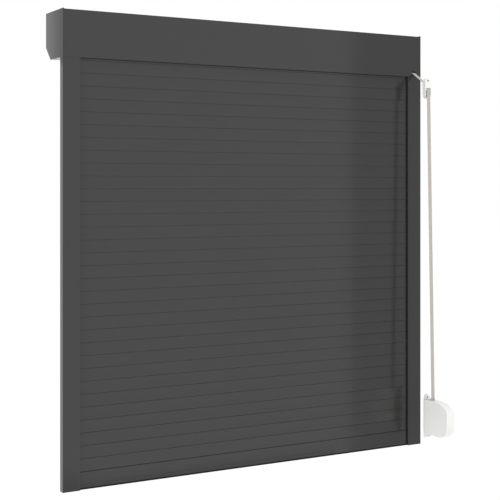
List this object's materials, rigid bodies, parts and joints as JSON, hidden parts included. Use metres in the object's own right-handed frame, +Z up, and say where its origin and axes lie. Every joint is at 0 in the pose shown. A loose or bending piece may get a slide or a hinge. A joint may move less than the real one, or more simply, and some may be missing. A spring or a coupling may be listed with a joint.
{
  "type": "roller shutter",
  "caption": "Exterior roller shutter for a window, with an aluminium box, side rails, a hollow-slat curtain, and a strap drive with guide and swivel winder.",
  "frame": {"origin": "centre of the box's rear face, on the outside face of the wall", "axes": "X along the width, to the right seen from the room; Y from the room to the outside; Z up"},
  "size_m": [1.28, 0.3335, 1.3815],
  "materials": {
    "coated_aluminium": "dark grey matt powder coat",
    "dark_plastic": "moulded, matt",
    "brush_pile": "dense grey pile",
    "black_rubber": "matt",
    "zinc_steel": "zinc plated",
    "woven_strap": "light grey woven webbing",
    "white_plastic": "moulded, satin white"
  },
  "bodies": {
    "frame": {"box_rear_panel": "coated_aluminium", "box_front_panel": "coated_aluminium", "box_inspection_cover": "coated_aluminium", "end_cap_left": "coated_aluminium", "end_cap_right": "coated_aluminium", "cover_screws": "zinc_steel", "inlet_brush": "brush_pile", "strap_inlet_bush": "dark_plastic", "barrel_bearing_left": "zinc_steel", "barrel_bearing_right": "zinc_steel", "guide_rail_left": "coated_aluminium", "guide_rail_right": "coated_aluminium", "rail_brushes_left": "brush_pile", "rail_brushes_right": "brush_pile", "inlet_funnel_left": "dark_plastic", "inlet_funnel_right": "dark_plastic", "rail_end_plugs": "dark_plastic", "strap_upper": "woven_strap", "strap_lower": "woven_strap", "strap_guide": "white_plastic", "strap_guide_pin": "zinc_steel", "winder_bracket": "white_plastic", "winder_pivot_pins": "zinc_steel"},
    "bottom_rail": {"bottom_bar": "coated_aluminium", "bottom_seal": "black_rubber", "bottom_bar_guides": "dark_plastic", "bottom_stops": "black_rubber", "stop_screws": "zinc_steel"},
    "slat_group_01": {"slats_01": "coated_aluminium"},
    "slat_group_02": {"slats_02": "coated_aluminium"},
    "slat_group_03": {"slats_03": "coated_aluminium"},
    "slat_group_04": {"slats_04": "coated_aluminium"},
    "slat_group_05": {"slats_05": "coated_aluminium"},
    "slat_group_06": {"slats_06": "coated_aluminium"},
    "slat_group_07": {"slats_07": "coated_aluminium"},
    "slat_group_08": {"slats_08": "coated_aluminium"},
    "slat_group_09": {"slats_09": "coated_aluminium"},
    "slat_group_10": {"slats_10": "coated_aluminium"},
    "slat_group_11": {"slats_11": "coated_aluminium"},
    "barrel": {"barrel_tube": "zinc_steel", "barrel_end_plug": "dark_plastic", "barrel_end_pin": "zinc_steel", "strap_pulley": "dark_plastic", "pulley_strap_turns": "woven_strap", "spring_hangers": "zinc_steel"},
    "guide_roller": {"strap_guide_roller": "white_plastic"},
    "winder": {"winder_case_left": "white_plastic", "winder_case_right": "white_plastic", "winder_case_screws": "zinc_steel", "winder_axle": "zinc_steel"},
    "spool": {"winder_spool": "dark_plastic", "winder_spring": "zinc_steel", "winder_strap_turns": "woven_strap"}
  },
  "joints": [
    {"name": "curtain_lift", "type": "slide", "parent": "frame", "child": "bottom_rail", "axis": [0, 0, 1], "range_m": [0, 1.2]},
    {"name": "slat_group_01_lift", "type": "slide", "parent": "frame", "child": "slat_group_01", "axis": [0, 0, 1], "range_m": [0, 1.2], "deforming": ["slats_01"]},
    {"name": "slat_group_02_lift", "type": "slide", "parent": "frame", "child": "slat_group_02", "axis": [0, 0, 1], "range_m": [0, 1.089], "deforming": ["slats_02"]},
    {"name": "slat_group_03_lift", "type": "slide", "parent": "frame", "child": "slat_group_03", "axis": [0, 0, 1], "range_m": [0, 0.978], "deforming": ["slats_03"]},
    {"name": "slat_group_04_lift", "type": "slide", "parent": "frame", "child": "slat_group_04", "axis": [0, 0, 1], "range_m": [0, 0.867], "deforming": ["slats_04"]},
    {"name": "slat_group_05_lift", "type": "slide", "parent": "frame", "child": "slat_group_05", "axis": [0, 0, 1], "range_m": [0, 0.756], "deforming": ["slats_05"]},
    {"name": "slat_group_06_lift", "type": "slide", "parent": "frame", "child": "slat_group_06", "axis": [0, 0, 1], "range_m": [0, 0.645], "deforming": ["slats_06"]},
    {"name": "slat_group_07_lift", "type": "slide", "parent": "frame", "child": "slat_group_07", "axis": [0, 0, 1], "range_m": [0, 0.534], "deforming": ["slats_07"]},
    {"name": "slat_group_08_lift", "type": "slide", "parent": "frame", "child": "slat_group_08", "axis": [0, 0, 1], "range_m": [0, 0.423], "deforming": ["slats_08"]},
    {"name": "slat_group_09_lift", "type": "slide", "parent": "frame", "child": "slat_group_09", "axis": [0, 0, 1], "range_m": [0, 0.312], "deforming": ["slats_09"]},
    {"name": "slat_group_10_lift", "type": "slide", "parent": "frame", "child": "slat_group_10", "axis": [0, 0, 1], "range_m": [0, 0.201], "deforming": ["slats_10"]},
    {"name": "slat_group_11_lift", "type": "slide", "parent": "frame", "child": "slat_group_11", "axis": [0, 0, 1], "range_m": [0, 0.09], "deforming": ["slats_11"]},
    {"name": "barrel_turn", "type": "hinge", "parent": "frame", "child": "barrel", "pos_m": [0, 0.071, 0], "axis": [-1, 0, 0], "range_deg": [0, 1527], "deforming": ["spring_hangers"]},
    {"name": "guide_roller_turn", "type": "hinge", "parent": "frame", "child": "guide_roller", "pos_m": [0.6085, -0.0729, -0.109], "axis": [1, 0, 0], "continuous": true},
    {"name": "winder_swivel", "type": "hinge", "parent": "frame", "child": "winder", "pos_m": [0.611, -0.088, -1.2005], "axis": [0, 0, 1], "range_deg": [-90, 90], "deforming": ["strap_lower"]},
    {"name": "spool_turn", "type": "hinge", "parent": "winder", "child": "spool", "pos_m": [0.611, -0.1385, -1.2015], "axis": [-1, 0, 0], "range_deg": [0, 1686], "deforming": ["winder_spring"]}
  ],
  "couplings": [
    {"joint": "slat_group_01_lift", "follows": "curtain_lift", "ratio": 1},
    {"joint": "slat_group_02_lift", "follows": "curtain_lift", "ratio": 0.9075},
    {"joint": "slat_group_03_lift", "follows": "curtain_lift", "ratio": 0.815},
    {"joint": "slat_group_04_lift", "follows": "curtain_lift", "ratio": 0.7225},
    {"joint": "slat_group_05_lift", "follows": "curtain_lift", "ratio": 0.63},
    {"joint": "slat_group_06_lift", "follows": "curtain_lift", "ratio": 0.5375},
    {"joint": "slat_group_07_lift", "follows": "curtain_lift", "ratio": 0.445},
    {"joint": "slat_group_08_lift", "follows": "curtain_lift", "ratio": 0.3525},
    {"joint": "slat_group_09_lift", "follows": "curtain_lift", "ratio": 0.26},
    {"joint": "slat_group_10_lift", "follows": "curtain_lift", "ratio": 0.1675},
    {"joint": "slat_group_11_lift", "follows": "curtain_lift", "ratio": 0.075},
    {"joint": "barrel_turn", "follows": "curtain_lift", "rad_per_m": 22.2},
    {"joint": "spool_turn", "follows": "curtain_lift", "rad_per_m": 24.5}
  ]
}
